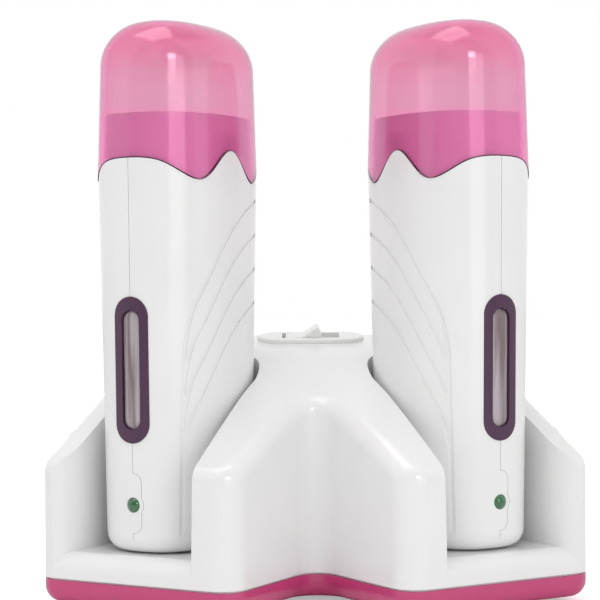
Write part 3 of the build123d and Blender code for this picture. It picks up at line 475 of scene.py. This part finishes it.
bpy.ops.object.mode_set(mode="OBJECT")
bpy.ops.object.shade_smooth_by_angle(angle=SMOOTH_BELOW)
lens.rotation_euler = (math.radians(90), 0.0, 0.0)
lens.location = (0.0, -LENS_REACH, LENS_CENTRE_HEIGHT)
settle(lens)
lens.data.materials.append(green_acrylic)
for side in SIDES:
    own = stand_in_warmer(lens, side, "domed_lens")
    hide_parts(f"{side}_indicator_lens")
bpy.data.objects.remove(lens)


# Heating well of each warmer.
# A deep cup of drawn aluminium sheet: bright, with fine draw lines that run upwards.
WELL_METAL = "#c6c8ca"
WELL_ROUGHNESS = (0.22, 0.42)
# The lines are about 0.1 mm apart; they are drawn at 0.6 mm so that they show.
DRAW_LINE = 0.6 * MM
DRAW_SQUEEZE = 0.03


def bare_metal(name, colour, roughness, mark_size, detail=3.0, squeeze=1.0):
    """Metal whose shine changes over marks of one size, drawn out upwards if squeezed."""
    metal, tree = start_material(name)
    place = add_node(tree, "ShaderNodeTexCoord").outputs["Object"]
    upright = add_node(tree, "ShaderNodeMapping", inputs={
        "Vector": place,
        "Scale": (1.0, 1.0, squeeze),
    })
    marks = add_node(tree, "ShaderNodeTexNoise", inputs={
        "Vector": upright.outputs["Vector"],
        "Scale": 1 / mark_size,
        "Detail": detail,
    })
    gloss = add_node(tree, "ShaderNodeMapRange", inputs={
        "Value": marks.outputs["Fac"],
        "To Min": roughness[0],
        "To Max": roughness[1],
    })
    shader = add_node(tree, "ShaderNodeBsdfPrincipled", inputs={
        "Base Color": linear(colour),
        "Metallic": 1.0,
        "Roughness": gloss.outputs["Result"],
    })
    add_node(tree, "ShaderNodeOutputMaterial", inputs={"Surface": shader.outputs["BSDF"]})
    return metal


drawn_aluminium = bare_metal(
    "drawn_aluminium", WELL_METAL, WELL_ROUGHNESS, DRAW_LINE, detail=4.0, squeeze=DRAW_SQUEEZE)
cover(drawn_aluminium, each_side=("heating_well",))


# Switch on the plateau: an oval panel with a roof-shaped rocker, and its body below.
# All are pale grey ABS with a satin gloss, a shade darker than the shell.
SWITCH_GREY = "#eeeeec"
SWITCH_ROUGHNESS = 0.3
SWITCH_GRAIN_STRENGTH = 0.5

grey_abs, tree = start_material("pale_grey_abs")
place = add_node(tree, "ShaderNodeTexCoord").outputs["Object"]
shader = add_node(tree, "ShaderNodeBsdfPrincipled", inputs={
    "Base Color": linear(SWITCH_GREY),
    "Roughness": SWITCH_ROUGHNESS,
    "IOR": ABS_IOR,
    "Normal": uneven_surface(tree, place, GRAIN_SIZE, GRAIN_DEPTH, SWITCH_GRAIN_STRENGTH),
})
add_node(tree, "ShaderNodeOutputMaterial", inputs={"Surface": shader.outputs["BSDF"]})
cover(grey_abs, "switch_panel", "switch_rocker", "switch_body")


# Insulating parts: mains inlet, dock plugs, sockets and thermostats.
# Black glass-filled nylon, moulded: matte, with a coarse grain.
NYLON_BLACK = "#1c1c1e"
NYLON_ROUGHNESS = 0.55
NYLON_IOR = 1.53
NYLON_GRAIN_SIZE = 0.3 * MM
NYLON_GRAIN_DEPTH = 0.01 * MM
NYLON_GRAIN_STRENGTH = 0.8

black_nylon, tree = start_material("black_nylon")
place = add_node(tree, "ShaderNodeTexCoord").outputs["Object"]
shader = add_node(tree, "ShaderNodeBsdfPrincipled", inputs={
    "Base Color": linear(NYLON_BLACK),
    "Roughness": NYLON_ROUGHNESS,
    "IOR": NYLON_IOR,
    "Normal": uneven_surface(
        tree, place, NYLON_GRAIN_SIZE, NYLON_GRAIN_DEPTH, NYLON_GRAIN_STRENGTH, detail=4.0),
})
add_node(tree, "ShaderNodeOutputMaterial", inputs={"Surface": shader.outputs["BSDF"]})
cover(black_nylon, "mains_inlet", each_side=("dock_plug", "socket_block", "thermostat"))


# Contacts: pins, sleeves and blades.
# Turned and stamped brass, with a slightly dull surface.
BRASS = "#c9a85c"
BRASS_ROUGHNESS = (0.2, 0.4)
BRASS_MARK = 2 * MM

plain_brass = bare_metal("plain_brass", BRASS, BRASS_ROUGHNESS, BRASS_MARK)
cover(plain_brass, "inlet_pins", "switch_blades", each_side=("dock_pins", "socket_sleeves"))


# Screws of the base and of the housings.
# Zinc-plated steel with a cross recess, grey with a low shine.
ZINC_GREY = "#b8babc"
ZINC_ROUGHNESS = (0.3, 0.5)
ZINC_MARK = 0.8 * MM

zinc_steel = bare_metal("zinc_plated_steel", ZINC_GREY, ZINC_ROUGHNESS, ZINC_MARK)
cover(zinc_steel, "base_screws", each_side=("housing_screw",))


# Heater pads and indicator boards inside the warmers.
# The pads are silicone rubber, matte and rust red, with low ridges over the heating wire;
# the boards are glass fibre laminate, green with a faint speckle.
SILICONE_RUST = "#b8542c"
SILICONE_ROUGHNESS = 0.6
# The wave repeats after 0.314 of its size, so the ridges are 1.9 mm apart.
RIDGE_WAVE = 6 * MM
RIDGE_DEPTH = 0.05 * MM
RIDGE_STRENGTH = 0.5
BOARD_GREEN = "#2f5a3a"
BOARD_FIBRE = "#3a6b46"
BOARD_ROUGHNESS = 0.4
FIBRE_SIZE = 0.5 * MM

silicone, tree = start_material("heater_silicone")
place = add_node(tree, "ShaderNodeTexCoord").outputs["Object"]
wire = add_node(tree, "ShaderNodeTexWave", inputs={
    "Vector": place,
    "Scale": 1 / RIDGE_WAVE,
    "Distortion": 0.0,
})
ridges = add_node(tree, "ShaderNodeBump", inputs={
    "Height": wire.outputs["Fac"],
    "Distance": RIDGE_DEPTH,
    "Strength": RIDGE_STRENGTH,
})
shader = add_node(tree, "ShaderNodeBsdfPrincipled", inputs={
    "Base Color": linear(SILICONE_RUST),
    "Roughness": SILICONE_ROUGHNESS,
    "Normal": ridges.outputs["Normal"],
})
add_node(tree, "ShaderNodeOutputMaterial", inputs={"Surface": shader.outputs["BSDF"]})
cover(silicone, each_side=("heater_pads",))

laminate, tree = start_material("board_laminate")
place = add_node(tree, "ShaderNodeTexCoord").outputs["Object"]
colour, _ = drifting_colour(tree, place, FIBRE_SIZE, BOARD_GREEN, BOARD_FIBRE)
shader = add_node(tree, "ShaderNodeBsdfPrincipled", inputs={
    "Base Color": colour,
    "Roughness": BOARD_ROUGHNESS,
})
add_node(tree, "ShaderNodeOutputMaterial", inputs={"Surface": shader.outputs["BSDF"]})
cover(laminate, each_side=("indicator_board",))


# Floor: one plain white sheet that the object stands on.
# A little added light makes it white where the eye sees it, also through the clear caps;
# it keeps the object's shadow.
FLOOR_WHITE = "#fdfdfd"
FLOOR_SIZE = 12.0
FLOOR_LIFT = 0.4

bpy.ops.object.select_all(action="DESELECT")
bpy.ops.mesh.primitive_plane_add(size=FLOOR_SIZE, location=(0, 0, 0))
floor = bpy.context.object
floor.name = "floor"
paper, tree = start_material("white_paper")
path = add_node(tree, "ShaderNodeLightPath")
seen = add_node(tree, "ShaderNodeMath", {"operation": "MAXIMUM"}, {
    0: path.outputs["Is Camera Ray"],
    1: path.outputs["Is Transmission Ray"],
})
lift = add_node(tree, "ShaderNodeMapRange", inputs={
    "Value": seen.outputs["Value"],
    "To Max": FLOOR_LIFT,
})
sheet = add_node(tree, "ShaderNodeBsdfDiffuse", inputs={"Color": linear(FLOOR_WHITE)})
glow = add_node(tree, "ShaderNodeEmission", inputs={"Strength": lift.outputs["Result"]})
both = add_node(tree, "ShaderNodeAddShader", inputs={
    0: sheet.outputs["BSDF"],
    1: glow.outputs["Emission"],
})
add_node(tree, "ShaderNodeOutputMaterial", inputs={"Surface": both.outputs["Shader"]})
floor.data.materials.append(paper)


# Light: a white surround, and soft lamps above, at the upper left of the camera and low at
# its right. In reflections the room on the camera's side is dimmer than the white sheet
# behind and above, and one small lamp shows there as a bright spot.
SURROUND = 0.69
ROOM_DIMNESS = 0.3
ROOM_EDGE = (-0.52, -0.40)
LAMP_TARGET = (0.0, 0.0, 0.1)
# Each lamp's place and the length of its side in metres, and its power in watts.
SOFT_LAMPS = {
    "top_lamp": ((-0.25, -0.10, 1.40), 0.9, 5.3),
    "left_lamp": ((-0.45, -1.00, 0.90), 0.8, 0.7),
    "front_lamp": ((0.55, -1.10, 0.30), 0.7, 2.1),
    "spark_lamp": ((0.34, -1.05, 0.56), 0.32, 2.4),
}
ONLY_MIRRORED = ("spark_lamp",)

world = bpy.data.worlds.new("white_surround")
bpy.context.scene.world = world
world.use_nodes = True
tree = world.node_tree
tree.nodes.clear()
path = add_node(tree, "ShaderNodeLightPath")
seen = add_node(tree, "ShaderNodeMath", {"operation": "MAXIMUM"}, {
    0: path.outputs["Is Camera Ray"],
    1: path.outputs["Is Transmission Ray"],
})
level = add_node(tree, "ShaderNodeMapRange", inputs={
    "Value": seen.outputs["Value"],
    "To Min": SURROUND,
    "To Max": 1.0,
})
direction = add_node(tree, "ShaderNodeTexCoord")
part = add_node(tree, "ShaderNodeSeparateXYZ", inputs={"Vector": direction.outputs["Generated"]})
room = add_node(tree, "ShaderNodeMapRange", inputs={
    "Value": part.outputs["Y"],
    "From Min": ROOM_EDGE[0],
    "From Max": ROOM_EDGE[1],
    "To Min": ROOM_DIMNESS,
    "To Max": 1.0,
})
mirrored = add_node(tree, "ShaderNodeMath", {"operation": "SUBTRACT", "use_clamp": True}, {
    0: path.outputs["Is Glossy Ray"],
    1: path.outputs["Is Transmission Ray"],
})
strength = add_node(tree, "ShaderNodeMix", {"data_type": "FLOAT"}, {
    "Factor": mirrored.outputs["Value"],
    2: level.outputs["Result"],
    3: room.outputs["Result"],
})
sky = add_node(tree, "ShaderNodeBackground", inputs={
    "Color": (1.0, 1.0, 1.0, 1.0),
    "Strength": strength.outputs[0],
})
add_node(tree, "ShaderNodeOutputWorld", inputs={"Surface": sky.outputs["Background"]})

for name, (spot, size, power) in SOFT_LAMPS.items():
    lamp = bpy.data.lights.new(name, "AREA")
    lamp.shape = "SQUARE"
    lamp.size = size
    lamp.energy = power
    holder = bpy.data.objects.new(name, lamp)
    bpy.context.scene.collection.objects.link(holder)
    holder.location = spot
    aim = [LAMP_TARGET[axis] - spot[axis] for axis in range(3)]
    tilt = math.atan2(math.hypot(aim[0], aim[1]), -aim[2])
    holder.rotation_euler = (tilt, 0.0, math.atan2(-aim[0], aim[1]))
    holder.visible_camera = False
    holder.visible_diffuse = name not in ONLY_MIRRORED


# Camera at the place, and with the angle of view, of the photograph: about 0.65 m in front,
# a little to the left and nearly level. Its turns are in degrees.
CAMERA_PLACE = (-18.1 * MM, -651.4 * MM, 110.6 * MM)
FOCAL_LENGTH = 107.44
SENSOR_WIDTH = 36.0
CLIP_START = 0.01
YAW_RIGHT = 1.17
PITCH_DOWN = 0.28
ROLL_CLOCKWISE = 0.37

camera_data = bpy.data.cameras.new("camera")
camera_data.lens = FOCAL_LENGTH
camera_data.sensor_width = SENSOR_WIDTH
camera_data.sensor_fit = "HORIZONTAL"
camera_data.clip_start = CLIP_START
camera = bpy.data.objects.new("camera", camera_data)
bpy.context.scene.collection.objects.link(camera)
camera.location = CAMERA_PLACE
camera.rotation_euler = (
    math.radians(90 - PITCH_DOWN),
    math.radians(ROLL_CLOCKWISE),
    math.radians(-YAW_RIGHT),
)
bpy.context.scene.camera = camera

bpy.context.scene.view_settings.view_transform = "Standard"
